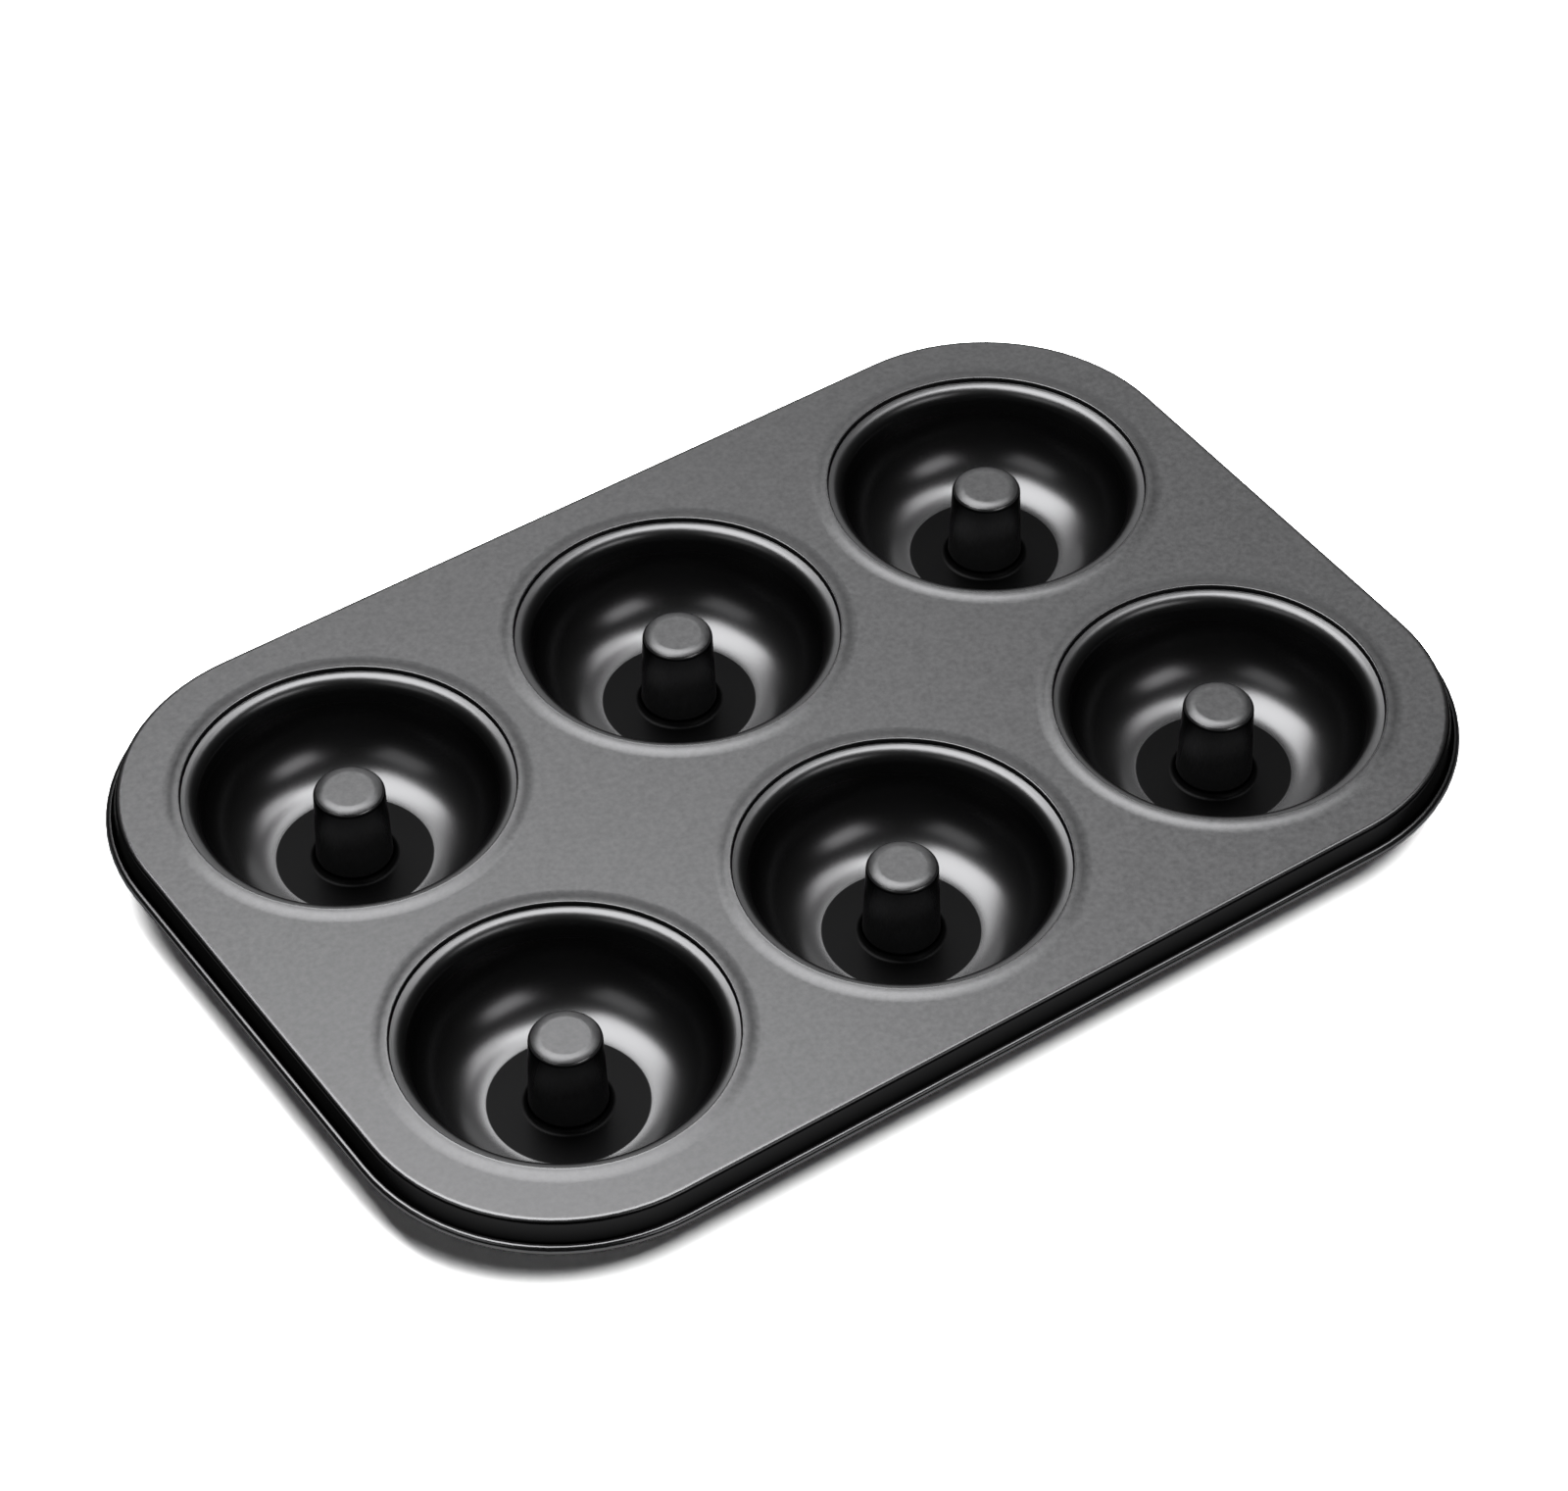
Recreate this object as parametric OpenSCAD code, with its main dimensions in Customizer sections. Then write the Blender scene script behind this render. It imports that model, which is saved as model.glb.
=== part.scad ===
// Six-cup doughnut pan, pressed from one steel sheet.
// It stands on the floors of its cups. X runs along the long side, Z points up,
// and the origin is under the middle of the pan.

/* [Pan] */
// Overall length, over the curled edge
pan_l = 266; // [258:1:300]
// Overall width, over the curled edge
pan_w = 185; // [178:1:220]
// Radius of the pan's corners, over the curled edge
corner_r = 47.2; // [20:0.2:56]
// Thickness of the coated sheet
sheet_t = 0.6; // [0.4:0.1:0.8]

/* [Cups] */
// Cups along the length
cup_columns = 3; // [1:1:3]
// Cups across the width
cup_rows = 2; // [1:1:2]
// Distance between cup centres along the length
pitch_x = 82.8; // [80:0.2:86]
// Distance between cup centres across the width
pitch_y = 84; // [80:0.5:90]
// Diameter of a cup where its raised ring leaves the deck
cup_d = 76.8; // [64:0.2:77]
// Depth of the cup's floor below the deck
cup_depth = 21; // [17:0.5:30]
// Lean of the cup's wall from upright, in degrees
wall_lean = 5; // [2:0.5:10]
// Radius of the round between the wall and the floor
bowl_r = 14.6; // [8:0.2:15]

/* [Raised ring] */
// Width of the ring's outer slope
slope_w = 1.7; // [1.6:0.1:3]
// Rise of the ring's outer slope above the deck
slope_h = 0.33; // [0.1:0.01:0.38]
// Width of the ring's top
top_w = 1.3; // [0.9:0.1:2]
// Rise of the ring's top, inwards
top_h = 0.03; // [0:0.01:0.2]
// Height of the step down from the ring's top
step_h = 1.15; // [0.8:0.05:1.6]
// How far the step leans inwards
step_w = 0.1; // [0:0.05:0.3]
// Width of the ledge between the step and the wall
ledge_w = 3.2; // [2.6:0.1:4]
// Drop of the ledge, inwards
ledge_h = 0.45; // [0:0.05:1.2]
// Radius where the ring leaves the deck
ring_foot_r = 9.5; // [1:0.5:10]
// Radius between the ring's slope and its top
ring_top_r = 6.5; // [1:0.5:8]
// Radius of the step's upper bend
step_top_r = 0.3; // [0.1:0.05:0.6]
// Radius of the step's lower bend
step_foot_r = 0.15; // [0.1:0.05:0.4]
// Radius of the rounded mouth
mouth_r = 3; // [1.5:0.1:3.6]

/* [Post] */
// Diameter of the post below its sloping crown
post_d = 15.2; // [12:0.2:20]
// How far the post's top lies below the deck
post_drop = 0.9; // [0:0.1:4]
// Width of the sloping crown round the post's top
crown_w = 1.6; // [1.6:0.1:3]
// Drop of the sloping crown
crown_h = 0.85; // [0.3:0.05:1.1]
// Radius between the post's top and its crown
crown_r = 4.4; // [1:0.1:4.4]
// Radius of the post's edge, below the crown
post_edge_r = 1.1; // [0.6:0.1:1.2]
// Radius where the post meets the floor
post_foot_r = 1.5; // [0.5:0.1:3]
// Lean of the post's side from upright, in degrees
post_lean = 2; // [0:0.5:6]

/* [Rim] */
// Radius of the deck's outer edge
edge_r = 1.2; // [0.8:0.1:2.5]
// Flare of the skirt from upright, in degrees
skirt_flare = 12; // [0:1:35]
// Height of the deck above the top of the curled edge
skirt_h = 5.2; // [4:0.1:8]
// Radius where the skirt turns out into the curl
foot_r = 0.6; // [0.4:0.1:1.2]
// Diameter of the curled edge
curl_d = 2.2; // [1.8:0.1:3]
// How far round the curl is rolled, in degrees
curl_turn = 240; // [180:5:250]

/* [Hidden] */
$fn = 96;
// How far the flats of a bend may lie inside its true round
bend_gap = 0.02;
// Inside of a bend that is tighter than the sheet is thick
tight_r = 0.05;
deck_z = cup_depth + sheet_t;
ring_z = deck_z + slope_h + top_h;
ledge_z = ring_z - step_h - ledge_h;
post_z = deck_z - post_drop;
post_edge_z = post_z - crown_h;
// Corners of the cup's section, as distances from its axis
slope_x = cup_d / 2 - slope_w;
step_x = slope_x - top_w;
mouth_x = step_x - step_w - ledge_w;
bowl_x = mouth_x - (ledge_z - sheet_t) * tan(wall_lean);
post_foot_x = post_d / 2 + (post_edge_z - sheet_t) * tan(post_lean);
// Radius of the round piece that carries a cup, a whole number past the ring
cup_reach = cup_d / 2 + ceil(ring_foot_r * tan(atan(slope_h / slope_w) / 2));
// The rim's section is drawn from the pan's outermost line inwards
curl_r = curl_d / 2;
curl_top_z = deck_z - skirt_h;
skirt_half = (90 - skirt_flare) / 2;
foot_x = -curl_r - foot_r * tan(skirt_half);
edge_x = foot_x - skirt_h * tan(skirt_flare);
// Width of the band round the pan that belongs to the rim's section, in whole millimetres
band_w = ceil(edge_r * tan(skirt_half) - edge_x) + 1;

// Corners of the cup's top face from the deck in to the axis: distance, height and radius of the bend there
cup_corners = [
    [cup_reach, deck_z, 0],
    [cup_d / 2, deck_z, ring_foot_r],
    [slope_x, deck_z + slope_h, ring_top_r],
    [step_x, ring_z, step_top_r],
    [step_x - step_w, ring_z - step_h, step_foot_r],
    [mouth_x, ledge_z, mouth_r],
    [bowl_x, sheet_t, bowl_r],
    [post_foot_x, sheet_t, post_foot_r],
    [post_d / 2, post_edge_z, post_edge_r],
    [post_d / 2 - crown_w, post_z, crown_r],
    [0, post_z, 0]
];

// Corners of the rim's top face from the deck out to the top of the curl
rim_corners = [
    [-band_w, deck_z, 0],
    [edge_x, deck_z, edge_r],
    [foot_x, curl_top_z, foot_r],
    [-curl_r, curl_top_z, 0]
];

// Points along an arc, from one angle to another
function arc(centre, r, from, to) =
    let (steps = ceil(abs(to - from) / (2 * acos(1 - min(bend_gap / abs(r), 1)))))
    [for (i = [0:steps]) let (a = from + (to - from) * i / steps) centre + r * [cos(a), sin(a)]];

// Point of a corner, without its radius
function spot(corner) = [corner.x, corner.y];

// Upright of the flat that starts at corner i, on the sheet's top side
function upright(corners, i, side) =
    let (run = spot(corners[i + 1]) - spot(corners[i])) side * [-run.y, run.x] / norm(run);

// The bend at corner i, lying depth under the top face: hollow bends widen and proud ones tighten
function bend(corners, i, depth, side) =
    let (
        before = upright(corners, i - 1, side),
        after = upright(corners, i, side),
        turn = atan2(cross(before, after), before * after),
        proud = turn * side < 0 ? 1 : -1,
        r = max(corners[i].z - proud * depth, tight_r),
        middle = (before + after) / norm(before + after) / cos(turn / 2),
        start = atan2(before.y, before.x)
    )
    arc(spot(corners[i]) - (depth + proud * r) * middle, proud * r, start, start + turn);

// One face of the sheet along its corners, lying depth under the top face
function face(corners, depth, side) =
    let (last = len(corners) - 1)
    concat(
        [spot(corners[0]) - depth * upright(corners, 0, side)],
        [for (i = [1:last - 1]) each bend(corners, i, depth, side)],
        [spot(corners[last]) - depth * upright(corners, last - 1, side)]
    );

function cup_face(depth) = face(cup_corners, depth, -1);

// The rim's face goes on round the curl
function rim_face(depth) = concat(
    face(rim_corners, depth, 1),
    arc([-curl_r, curl_top_z - curl_r], curl_r - depth, 90, 90 - curl_turn)
);

// The points of a strip of sheet between its two faces
function strip(top, under) = concat(top, [for (i = [len(under) - 1:-1:0]) under[i]]);

module at_cups() {
    for (i = [0:cup_columns - 1], j = [0:cup_rows - 1])
        translate([(i - (cup_columns - 1) / 2) * pitch_x, (j - (cup_rows - 1) / 2) * pitch_y, 0])
            children();
}

module at_corners() {
    for (turn = [0, 90, 180, 270]) {
        side = turn % 180 == 0 ? [pan_l, pan_w] : [pan_w, pan_l];
        rotate(turn) translate([side.x / 2 - corner_r, side.y / 2 - corner_r, 0]) children();
    }
}

// Flat sheet between the cups, out to the band that carries the rim
module deck() {
    long = pan_l - 2 * corner_r;
    wide = pan_w - 2 * corner_r;
    reach = corner_r - band_w;
    translate([0, 0, deck_z - sheet_t]) linear_extrude(sheet_t) difference() {
        union() {
            square([long + 2 * reach, wide], center = true);
            square([long, wide + 2 * reach], center = true);
            at_corners() circle(reach);
        }
        at_cups() circle(cup_reach);
    }
}

// Round cup with a raised ring round its mouth and a hollow post in its middle
module cup() {
    rotate_extrude() polygon(strip(cup_face(0), cup_face(sheet_t)));
}

module rim_section() {
    polygon(strip(rim_face(0), rim_face(sheet_t)));
}

// Skirt and curled edge along one straight side of the given length
module rim_side(length) {
    rotate([90, 0, 0]) linear_extrude(length, center = true) rim_section();
}

// Deck edge, flared skirt and curled edge all round the pan
module rim() {
    for (turn = [0, 180]) rotate(turn) {
        translate([pan_l / 2, 0, 0]) rim_side(pan_w - 2 * corner_r);
        rotate(90) translate([pan_w / 2, 0, 0]) rim_side(pan_l - 2 * corner_r);
    }
    at_corners() rotate_extrude(angle = 90) translate([corner_r, 0]) rim_section();
}

module pan() {
    color([0.24, 0.24, 0.25]) union() {
        deck();
        rim();
        at_cups() cup();
    }
}

pan();
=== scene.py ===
import math

import bmesh
import bpy
import numpy as np
from mathutils import Matrix, Vector


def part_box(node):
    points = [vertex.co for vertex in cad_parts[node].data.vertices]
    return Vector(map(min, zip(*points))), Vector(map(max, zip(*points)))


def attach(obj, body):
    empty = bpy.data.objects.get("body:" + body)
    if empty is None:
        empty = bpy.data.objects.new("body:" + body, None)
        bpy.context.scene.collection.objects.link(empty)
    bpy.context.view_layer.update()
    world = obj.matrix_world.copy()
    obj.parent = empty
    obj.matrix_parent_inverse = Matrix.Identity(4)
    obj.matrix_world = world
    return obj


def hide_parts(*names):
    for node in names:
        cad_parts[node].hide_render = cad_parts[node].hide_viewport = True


mm = 0.001
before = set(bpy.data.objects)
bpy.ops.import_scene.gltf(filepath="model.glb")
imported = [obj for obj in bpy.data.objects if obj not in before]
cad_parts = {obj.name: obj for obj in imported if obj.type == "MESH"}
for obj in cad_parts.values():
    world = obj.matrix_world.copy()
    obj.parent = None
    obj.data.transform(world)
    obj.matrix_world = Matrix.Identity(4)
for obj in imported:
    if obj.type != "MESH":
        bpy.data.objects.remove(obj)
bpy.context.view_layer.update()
print("frame loaded")

cup = {  # the round moulds, from the raised ring down to the floor, in metres and degrees
    "pitchX": 82.8 * mm,
    "pitchY": 84 * mm,
    "diameter": 76.8 * mm,  # where the raised ring leaves the deck
    "depth": 21 * mm,
    "ringSide": (1.7 * mm, 0.33 * mm),  # width and rise
    "ringTop": (1.3 * mm, 0.03 * mm),
    "step": (0.1 * mm, 1.15 * mm),  # width and drop
    "ledge": (3.2 * mm, 0.45 * mm),
    "wallLean": 5,
    "ringFootRadius": 9.5 * mm,
    "ringTopRadius": 6.5 * mm,
    "stepTopRadius": 0.3 * mm,
    "stepFootRadius": 0.15 * mm,
    "mouthRadius": 3 * mm,
    "bowlRadius": 14.6 * mm,
}
post = {  # the hollow stud in the middle of each mould
    "diameter": 15.2 * mm,
    "drop": 0.9 * mm,
    "crown": (1.6 * mm, 0.85 * mm),  # width and drop of its sloping edge
    "crownRadius": 4.4 * mm,
    "edgeRadius": 1.1 * mm,
    "footRadius": 1.5 * mm,
    "lean": 2,
}
rim = {  # the pan's outer edge: a skirt that ends in an open curl
    "cornerRadius": 47.2 * mm,
    "edgeRadius": 1.2 * mm,
    "flare": 12,
    "drop": 5.2 * mm,
    "footRadius": 0.6 * mm,
    "curlRadius": 1.1 * mm,
    "curlTurn": 240,
}
panLow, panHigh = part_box("pan")
pan = {
    "length": panHigh.x - panLow.x,
    "width": panHigh.y - panLow.y,
    "sheet": 0.6 * mm,
}
deckHeight = cup["depth"] + pan["sheet"]
mesh = {  # how finely the sheet is drawn
    "sidePoints": 20,  # points along each side of a cup's cell, and on each corner's arc
    "deckRows": 3,
    "cupReach": 1 * mm,  # of flat deck round each ring, drawn with the cup
    "bendStep": 9,  # degrees
    "endStep": 30,  # degrees, round the sheet's cut end
    "tightest": 0.05 * mm,  # inside of a bend that is tighter than the sheet is thick
    "markWidth": 0.3 * mm,  # of the change from one finish to the next
    "weld": 1e-7,  # distance below which two points become one
}
coatAndPaintedLight = {  # of each area of the coat: the share of light it returns, roughness and grain; the shares of the cup floors, the post sides and the skirt are painted shade, that of the post shoulders a painted highlight
    "deck": (0.1, 0.34, 1),
    "edge": (0.11, 0.24, 0.3),
    "mouth": (0.11, 0.3, 0),
    "bowl": (0.11, 0.26, 0),
    # painted shade: the cup floors and the post foot bends are drawn with a share of light far
    # below the coat's, so they read dark
    "floor": (0.007, 0.4, 0),
    # painted highlight: the post shoulder returns more light than the coat, to brighten its
    # crescent
    "shoulder": (0.125, 0.24, 0.3),
    # painted shade: the post side returns little light, darkest under the shoulder and lighter
    # towards the foot mark
    "postSide": (0.02, 0.4, 0),
    "postFoot": (0.1, 0.5, 0),
    # painted shade: the skirt returns far less light than the coat, darker towards its foot
    "skirtTop": (0.018, 0.25, 0),
    "skirtFoot": (0.003, 0.25, 0),
    "curl": (0.1, 0.22, 0),
    "under": (0.1, 0.3, 0),
}


def tangent(degrees):
    return math.tan(math.radians(degrees))


def rounded(corners, depth, side):
    # a line through the corners, moved down into the sheet by depth, each corner rounded by its
    # own radius: point = centre + radius * (cos a, sin a), or centre - radius * (cos a, sin a) in
    # a hollow bend, and the unit vector is the normal
    flat = np.array([corner[:2] for corner in corners])
    along = np.diff(flat, axis=0)
    along /= np.linalg.norm(along, axis=1)[:, None]
    up = side * np.stack([-along[:, 1], along[:, 0]], 1)
    rows = [np.concatenate([flat[0] - depth * up[0], up[0]])]
    marks = [corners[0][3]]
    for i in range(1, len(flat) - 1):
        turn = math.atan2(np.cross(up[i - 1], up[i]), np.dot(up[i - 1], up[i]))
        bulge = -math.copysign(1, turn) * side
        radius = max(corners[i][2] - bulge * depth, mesh["tightest"] if corners[i][2] else 0)
        steps = math.ceil(abs(math.degrees(turn)) / mesh["bendStep"]) + 1
        middle = (up[i - 1] + up[i]) / np.linalg.norm(up[i - 1] + up[i]) / math.cos(turn / 2)
        centre = flat[i] - (depth + bulge * radius) * middle
        angle = math.atan2(*up[i - 1][::-1]) + turn * np.linspace(0, 1, steps)[:, None]
        normal = np.concatenate([np.cos(angle), np.sin(angle)], 1)
        rows.extend(np.concatenate([centre + bulge * radius * normal, normal], 1))
        finish = corners[i][3].split()  # a bend with two marks changes from one to the other at its middle
        marks.extend([finish[0]] * (steps // 2) + [finish[-1]] * (steps - steps // 2))
    rows.append(np.concatenate([flat[-1] - depth * up[-1], up[-1]]))
    marks.append(corners[-1][3])
    return np.array(rows), marks


def cupCorners():
    # distance from the axis, height, radius of the bend and finish, from the deck in to the axis
    deck, floor = deckHeight, pan["sheet"]
    x, z = cup["diameter"] / 2, deck
    corners = [(x + mesh["cupReach"], z, 0, "deck"), (x, z, cup["ringFootRadius"], "deck")]
    x, z = x - cup["ringSide"][0], z + cup["ringSide"][1]
    corners.append((x, z, cup["ringTopRadius"], "deck"))
    x, z = x - cup["ringTop"][0], z + cup["ringTop"][1]
    corners.append((x, z, cup["stepTopRadius"], "edge"))
    x, z = x - cup["step"][0], z - cup["step"][1]
    corners.append((x, z, cup["stepFootRadius"], "mouth"))
    x, z = x - cup["ledge"][0], z - cup["ledge"][1]
    corners.append((x, z, cup["mouthRadius"], "mouth"))
    x -= (z - floor) * tangent(cup["wallLean"])
    corners.append((x, floor, cup["bowlRadius"], "bowl"))
    bowlEnd = x - cup["bowlRadius"] * tangent((90 - cup["wallLean"]) / 2)
    # the flat cup floor takes the dark floor mark, painted shade
    corners.append((bowlEnd - mesh["markWidth"], floor, 0, "floor"))
    top, edge = deck - post["drop"], deck - post["drop"] - post["crown"][1]
    side = post["diameter"] / 2
    footX = side + (edge - floor) * tangent(post["lean"])
    markRise = post["footRadius"] + mesh["markWidth"]
    # the post's foot bend takes the dark floor mark too, painted shade
    corners.append((footX, floor, post["footRadius"], "floor"))
    # from this foot mark up to the shoulder the post side darkens, painted shade
    corners.append((footX - markRise * tangent(post["lean"]), floor + markRise, 0, "postFoot"))
    # the upper half of this bend is the post shoulder, with a painted highlight
    corners.append((side, edge, post["edgeRadius"], "postSide shoulder"))
    corners.append((side - post["crown"][0], top, post["crownRadius"], "deck"))
    corners.append((0, top, 0, "deck"))
    return corners


def rimCorners():
    # the same columns, from the deck out to the curl's top, measured from the outermost line
    deck = deckHeight
    top = deck - rim["drop"]
    bend = tangent((90 - rim["flare"]) / 2)
    footX = -rim["curlRadius"] - rim["footRadius"] * bend
    edgeX = footX - rim["drop"] * tangent(rim["flare"])
    inner = edgeX - rim["edgeRadius"] * bend - mesh["markWidth"]
    return [
        (inner, deck, 0, "deck"),
        # the skirt below the deck edge is painted shade, darker towards its foot
        (edgeX, deck, rim["edgeRadius"], "edge skirtTop"),
        (footX, top, rim["footRadius"], "skirtFoot"),
        (-rim["curlRadius"], top, 0, "curl"),
    ]


def curl(depth):
    # a point goes round the curl's centre, from its top out, down and back in
    turn = rim["curlTurn"]
    angle = np.radians(90 - np.linspace(0, turn, math.ceil(turn / mesh["bendStep"]) + 1))[1:, None]
    normal = np.concatenate([np.cos(angle), np.sin(angle)], 1)
    centre = (-rim["curlRadius"], deckHeight - rim["drop"] - rim["curlRadius"])
    return np.concatenate([centre + (rim["curlRadius"] - depth) * normal, normal], 1)


def rimSection():
    # out along the top face and round the curl, round the sheet's cut end, back on the under face
    faces = []
    for depth in (0, pan["sheet"]):
        face, marks = rounded(rimCorners(), depth, 1)
        faces.append(np.concatenate([face[:-1], curl(depth)]))  # the bend ends on the curl's top
        marks = marks[:-2] + ["curl"] * (len(faces[-1]) - len(marks) + 2)
    top, under = faces
    under[:, 2:] *= -1
    half = pan["sheet"] / 2
    normal = top[-1, 2:]
    ahead = np.array([normal[1], -normal[0]])
    angle = np.radians(np.arange(mesh["endStep"], 180, mesh["endStep"]))[:, None]
    outward = np.cos(angle) * normal + np.sin(angle) * ahead
    end = np.concatenate([top[-1, :2] - half * normal + half * outward, outward], 1)
    marks = marks[:len(top)] + ["under"] * (len(end) + len(under))
    return np.concatenate([top, end, under[::-1]]), marks


def outerPath():
    # a rounded rectangle's core points and headings: a line round it is core + distance * heading
    n = mesh["sidePoints"]
    coreX = pan["length"] / 2 - rim["cornerRadius"]
    coreY = pan["width"] / 2 - rim["cornerRadius"]
    split = cup["pitchX"] / 2
    stops = [  # of the back half: core x, core y, heading and points, at the end of each stretch
        (coreX, 0, 0, 0),
        (coreX, coreY, 0, n // 2),
        (coreX, coreY, 90, n),
        (split, coreY, 90, n // 2),
        (-split, coreY, 90, n),
        (-coreX, coreY, 90, n // 2),
        (-coreX, coreY, 180, n),
        (-coreX, 0, 180, n // 2),
    ]
    parts = [np.linspace(a[:3], b[:3], b[3], endpoint=False) for a, b in zip(stops, stops[1:])]
    back = np.concatenate(parts)
    front = back * (-1, -1, 1) + (0, 0, 180)
    path = np.concatenate([back, front])
    heading = np.radians(path[:, 2])
    return path[:, :2], np.stack([np.cos(heading), np.sin(heading)], 1)


def line(a, b):
    # equal steps along a straight line, without its end
    return np.linspace(a, b, mesh["sidePoints"], endpoint=False)


def cells(edge):
    # each cup's middle, the angle of its first point, and its cell's outline from that angle on
    n = mesh["sidePoints"]
    split = cup["pitchX"] / 2
    far, near = edge[2 * n], edge[3 * n]
    innerRight, innerLeft = (split, 0), (-split, 0)
    right = [edge[:2 * n], line(far, innerRight), line(innerRight, edge[0])]
    middle = [edge[2 * n:3 * n], line(near, innerLeft), line(innerLeft, innerRight)]
    middle.append(line(innerRight, far))
    left = [edge[3 * n:5 * n], line(edge[5 * n], innerLeft), line(innerLeft, near)]
    for column, start, parts in ((1, -45, right), (0, 45, middle), (-1, 45, left)):
        outline = np.concatenate(parts)
        centre = np.array([column * cup["pitchX"], cup["pitchY"] / 2])
        yield centre, start, outline
        yield -centre, start + 180, -outline


def revolved(profile, centre, start, points):
    # each profile row turned about the cup's upright axis: x and y follow the angle, z stays
    angle = np.radians(start) + np.linspace(0, 2 * math.pi, points, endpoint=False)
    ring = np.stack([np.cos(angle), np.sin(angle)], 1)
    flat = centre + profile[:, None, :1] * ring
    height = np.broadcast_to(profile[:, None, 1:2], flat.shape[:2] + (1,))
    slope = profile[:, None, 2:3] * ring
    rise = np.broadcast_to(profile[:, None, 3:4], height.shape)
    return np.concatenate([flat, height], 2), np.concatenate([slope, rise], 2)


def deckRows(outline, circle, height):
    # straight blend from the cell's outline to the cup's circle, all at one height
    share = np.linspace(0, 1, mesh["deckRows"], endpoint=False)[:, None, None]
    flat = (1 - share) * outline + share * circle
    return np.concatenate([flat, np.full(flat.shape[:2] + (1,), height)], 2)


def gridFaces(rows, columns, first=0):
    # quads of a grid that closes along its second parameter
    row, column = np.meshgrid(np.arange(rows - 1), np.arange(columns), indexing="ij")
    here, beside = row * columns + column, row * columns + (column + 1) % columns
    quads = np.stack([here, here + columns, beside + columns, beside], 2).reshape(-1, 4)
    return quads + first


def panSurface():
    # all the sheet's grids as points, normals, finish and quads
    core, heading = outerPath()
    section, rimMarks = rimSection()
    edge = core + (rim["cornerRadius"] + section[0, 0]) * heading
    points, normals, finish, quads = [], [], [], []

    def add(position, normal, marks, flip):
        faces = gridFaces(*position.shape[:2], first=sum(len(p) for p in points))
        points.append(position.reshape(-1, 3))
        normals.append(normal.reshape(-1, 3))
        values = np.array([coatAndPaintedLight[mark] for mark in marks])[:, None]
        finish.append(np.broadcast_to(values, position.shape).reshape(-1, 3))
        quads.append(faces[:, ::-1] if flip else faces)

    for centre, start, outline in cells(edge):
        for depth in (0, pan["sheet"]):
            profile, marks = rounded(cupCorners(), depth, -1)
            bowl, slope = revolved(profile, centre, start, len(outline))
            deck = deckRows(outline, bowl[0, :, :2], deckHeight - depth)
            up = np.broadcast_to([0.0, 0.0, 1.0], deck.shape)
            normal = np.concatenate([up, slope])
            marks = ["under"] * len(normal) if depth else ["deck"] * len(deck) + marks
            add(np.concatenate([deck, bowl]), -normal if depth else normal, marks, depth == 0)
    flat = core + (rim["cornerRadius"] + section[:, None, :1]) * heading
    height = np.broadcast_to(section[:, None, 1:2], flat.shape[:2] + (1,))
    slope = section[:, None, 2:3] * heading
    rise = np.broadcast_to(section[:, None, 3:4], height.shape)
    add(np.concatenate([flat, height], 2), np.concatenate([slope, rise], 2), rimMarks, False)
    return [np.concatenate(part) for part in (points, normals, finish, quads)]


def buildPan():
    points, normals, finish, quads = panSurface()
    data = bpy.data.meshes.new("panSheet")
    data.vertices.add(len(points))
    data.vertices.foreach_set("co", points.astype(np.float32).ravel())
    data.loops.add(quads.size)
    data.loops.foreach_set("vertex_index", quads.astype(np.int32).ravel())
    data.polygons.add(len(quads))
    data.polygons.foreach_set("loop_start", np.arange(0, quads.size, 4, dtype=np.int32))
    data.update(calc_edges=True)
    kept = data.attributes.new("sheetNormal", "FLOAT_VECTOR", "POINT")
    kept.data.foreach_set("vector", normals.astype(np.float32).ravel())
    # shade holds the coat's share of light together with the painted shade and painted highlight
    # of the table
    for name, values in zip(("shade", "roughness", "grain"), finish.T):
        layer = data.attributes.new(name, "FLOAT", "POINT")
        layer.data.foreach_set("value", values.astype(np.float32))
    work = bmesh.new()
    work.from_mesh(data)
    bmesh.ops.remove_doubles(work, verts=work.verts, dist=mesh["weld"])
    work.to_mesh(data)
    work.free()
    data.polygons.foreach_set("use_smooth", np.ones(len(data.polygons), bool))
    exact = np.zeros(len(data.vertices) * 3, np.float32)
    data.attributes["sheetNormal"].data.foreach_get("vector", exact)
    data.attributes.remove(data.attributes["sheetNormal"])
    data.normals_split_custom_set_from_vertices(exact.reshape(-1, 3))
    piece = bpy.data.objects.new("doughnut_pan", data)
    bpy.context.scene.collection.objects.link(piece)
    return piece


panPiece = buildPan()
triangles = sum(len(face.vertices) - 2 for face in panPiece.data.polygons)
print("pan sheet built:", triangles, "triangles")


class Wire:
    # wraps a shader socket, so that maths on a material reads as maths
    def __init__(self, tree, socket):
        self.tree, self.socket = tree, socket

    def maths(self, operation, *values):
        return self.tree.node("ShaderNodeMath", {"operation": operation}, *values)

    def __add__(self, other):
        return self.maths("ADD", self, other)

    def __sub__(self, other):
        return self.maths("SUBTRACT", self, other)

    def __rsub__(self, other):
        return self.maths("SUBTRACT", other, self)

    def __mul__(self, other):
        return self.maths("MULTIPLY", self, other)

    __radd__, __rmul__ = __add__, __mul__


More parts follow.
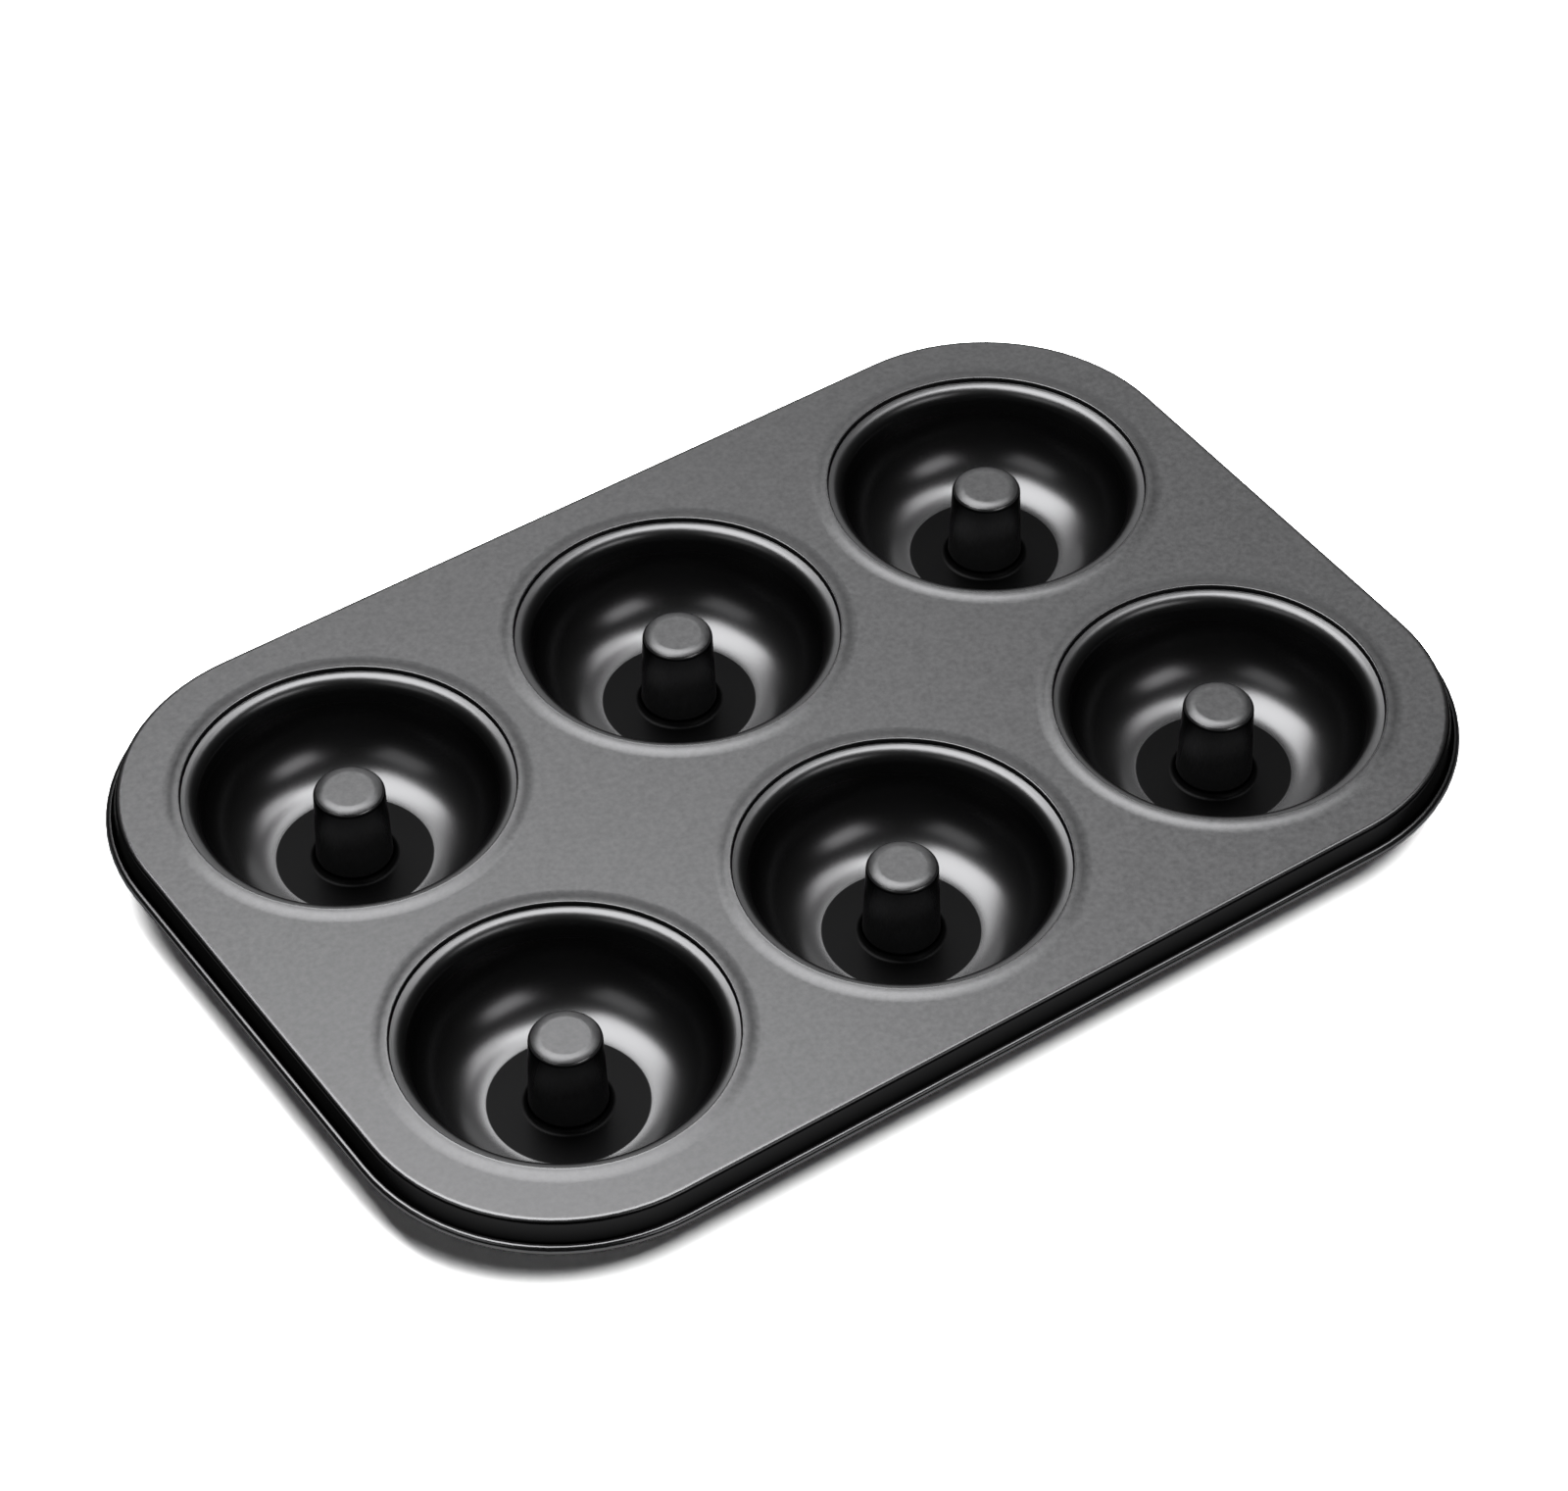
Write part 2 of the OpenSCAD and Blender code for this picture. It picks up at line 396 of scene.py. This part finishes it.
class Shader:
    # the node tree of a material or a world, with one way to add any node
    def __init__(self, data):
        self.data = data
        self.data.use_nodes = True
        self.data.node_tree.nodes.clear()

    def node(self, kind, settings=None, *values, output=0, **named):
        made = self.data.node_tree.nodes.new(kind)
        for key, value in (settings or {}).items():
            setattr(made, key, value)
        sockets = dict(enumerate(values))
        sockets.update({key.replace("_", " "): value for key, value in named.items()})
        for key, value in sockets.items():
            if isinstance(value, Wire):
                self.data.node_tree.links.new(value.socket, made.inputs[key])
            elif value is not None:
                made.inputs[key].default_value = value
        return Wire(self, made.outputs[output]) if made.outputs else made

    def finish(self, shader, output="ShaderNodeOutputMaterial"):
        self.node(output, None, shader)
        return self.data


coating = {
    "tint": (1, 1, 1.02),
    "metal": 0.98,
    "dullness": 0.22,  # how much less metallic the grainy areas are
    "grainScale": 800,  # grains per metre
    "grainDetail": 2,
    "grainHarshness": 0.6,
    "edgeTint": (0.25, 0.25, 0.25, 1),  # of what is mirrored at a glancing angle
    "mottle": 0.5,  # how much the grain changes the light that is returned
    "grainRoughness": 0.12,
    "grainHeight": 0.012 * mm,
}


def coatedSteelAndPaintedLight():
    # dark non-stick coat: grainy on the deck, the rings and the post tops, smooth elsewhere; its
    # shade attribute also carries painted shade on the cup floors, post sides and skirt and a
    # painted highlight on the post shoulders
    made = Shader(bpy.data.materials.new("coatedSteelAndPaintedLight"))
    place = made.node("ShaderNodeTexCoord", output="Object")
    shade, roughness, grain = (
        made.node("ShaderNodeAttribute", {"attribute_name": name}, output="Fac")
        for name in ("shade", "roughness", "grain")
    )
    noise = made.node("ShaderNodeTexNoise", None, place, Scale=coating["grainScale"],
                      Detail=coating["grainDetail"], Roughness=coating["grainHarshness"])
    speck = (noise - 0.5) * grain  # noise runs from 0 to 1
    tone = shade * (1 + speck * coating["mottle"])
    colour = made.node("ShaderNodeVectorMath", {"operation": "SCALE"}, coating["tint"], Scale=tone)
    bump = made.node("ShaderNodeBump", None, Distance=coating["grainHeight"], Height=speck)
    shader = made.node("ShaderNodeBsdfPrincipled", None, Base_Color=colour,
                       Metallic=coating["metal"] - grain * coating["dullness"],
                       Specular_Tint=coating["edgeTint"],
                       Roughness=roughness + speck * coating["grainRoughness"], Normal=bump)
    return made.finish(shader)


panPiece.data.materials.append(coatedSteelAndPaintedLight())
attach(panPiece, "root")
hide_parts("pan")
print("coating done")

stage = {
    "floorSize": 8,
    "floorShade": 0.8,
    "floorToCamera": 3.3,  # shade of the floor as the camera sees it
    "surroundings": 0.02,  # strength of the world in reflections
}


def buildFloor():
    # a flat square under the pan
    half = stage["floorSize"] / 2
    data = bpy.data.meshes.new("floor")
    corners = [(-half, -half, 0), (half, -half, 0), (half, half, 0), (-half, half, 0)]
    data.from_pydata(corners, [], [(0, 1, 2, 3)])
    floor = bpy.data.objects.new("floor", data)
    bpy.context.scene.collection.objects.link(floor)
    made = Shader(bpy.data.materials.new("floorPaper"))
    camera = made.node("ShaderNodeLightPath", None, output="Is Camera Ray")
    plain = made.node("ShaderNodeBsdfDiffuse", None, (stage["floorShade"],) * 3 + (1,))
    bright = made.node("ShaderNodeBsdfDiffuse", None, (stage["floorToCamera"],) * 3 + (1,))
    mix = made.node("ShaderNodeMixShader", None, camera, plain, bright)
    data.materials.append(made.finish(mix))


def buildWorld():
    # pale behind the floor for the camera, and nearly dark for everything else
    made = Shader(bpy.data.worlds.new("studio"))
    camera = made.node("ShaderNodeLightPath", None, output="Is Camera Ray")
    dim = made.node("ShaderNodeBackground", None, Strength=stage["surroundings"])
    pale = made.node("ShaderNodeBackground", None, Strength=1)
    mix = made.node("ShaderNodeMixShader", None, camera, dim, pale)
    bpy.context.scene.world = made.finish(mix, "ShaderNodeOutputWorld")


camera = {  # where the photograph was taken from, in metres and degrees
    "aim": Vector((-1.04, -0.30, 21.6)) * mm,
    "distance": 1.04935,
    "heading": 34.22,  # from +Y towards +X
    "elevation": 45.11,
    "roll": -0.39,
    "lens": 114.01,
    "sensor": 36,
}
lights = {  # heading from the camera's own, elevation, distance, width, height and radiance
    "softbox": (-30, 70, 3.0, 2.1, 2.1, 7.0),
    "backPanel": (0, 22, 3.0, 2.4, 2.0, 1.0),
    "leftSpot": (-130, 47, 3.0, 1.7, 1.0, 0.75),
    "rightSpot": (128, 45, 3.0, 1.4, 0.9, 1.9),
    "sidePanel": (43, 63, 3.0, 1.0, 1.0, 4.0),
    "frontLamp": (152, 65, 3.0, 0.85, 0.85, 20.0),
}


def direction(heading, elevation):
    # unit vector towards a heading from +Y and an elevation above the floor
    a, e = math.radians(heading), math.radians(elevation)
    return Vector((math.sin(a) * math.cos(e), math.cos(a) * math.cos(e), math.sin(e)))


def buildLight(name):
    # a rectangular lamp that faces the pan; its power is radiance * pi * area
    heading, elevation, distance, width, height, radiance = lights[name]
    data = bpy.data.lights.new(name, "AREA")
    data.shape, data.size, data.size_y = "RECTANGLE", width, height
    data.energy = radiance * math.pi * width * height
    lamp = bpy.data.objects.new(name, data)
    towards = direction(camera["heading"] + heading, elevation)
    lamp.location = towards * distance
    lamp.rotation_euler = towards.to_track_quat("Z", "Y").to_euler()
    lamp.visible_camera = False
    lamp.visible_glossy = name != "frontLamp"
    lamp.visible_diffuse = name in ("softbox", "frontLamp")
    bpy.context.scene.collection.objects.link(lamp)


def buildCamera():
    # looks down at the pan from the front left
    data = bpy.data.cameras.new("camera")
    data.lens, data.sensor_width = camera["lens"], camera["sensor"]
    towards = direction(camera["heading"] + 180, camera["elevation"])
    eye = bpy.data.objects.new("camera", data)
    roll = Matrix.Rotation(math.radians(camera["roll"]), 3, "Z")
    turn = towards.to_track_quat("Z", "Y").to_matrix() @ roll
    place = Matrix.Translation(camera["aim"] + towards * camera["distance"])
    eye.matrix_world = place @ turn.to_4x4()
    bpy.context.scene.collection.objects.link(eye)
    bpy.context.scene.camera = eye


buildFloor()
buildWorld()
for lampName in lights:
    buildLight(lampName)
buildCamera()
bpy.context.scene.view_settings.view_transform = "Standard"
print("stage, lamps and camera done")
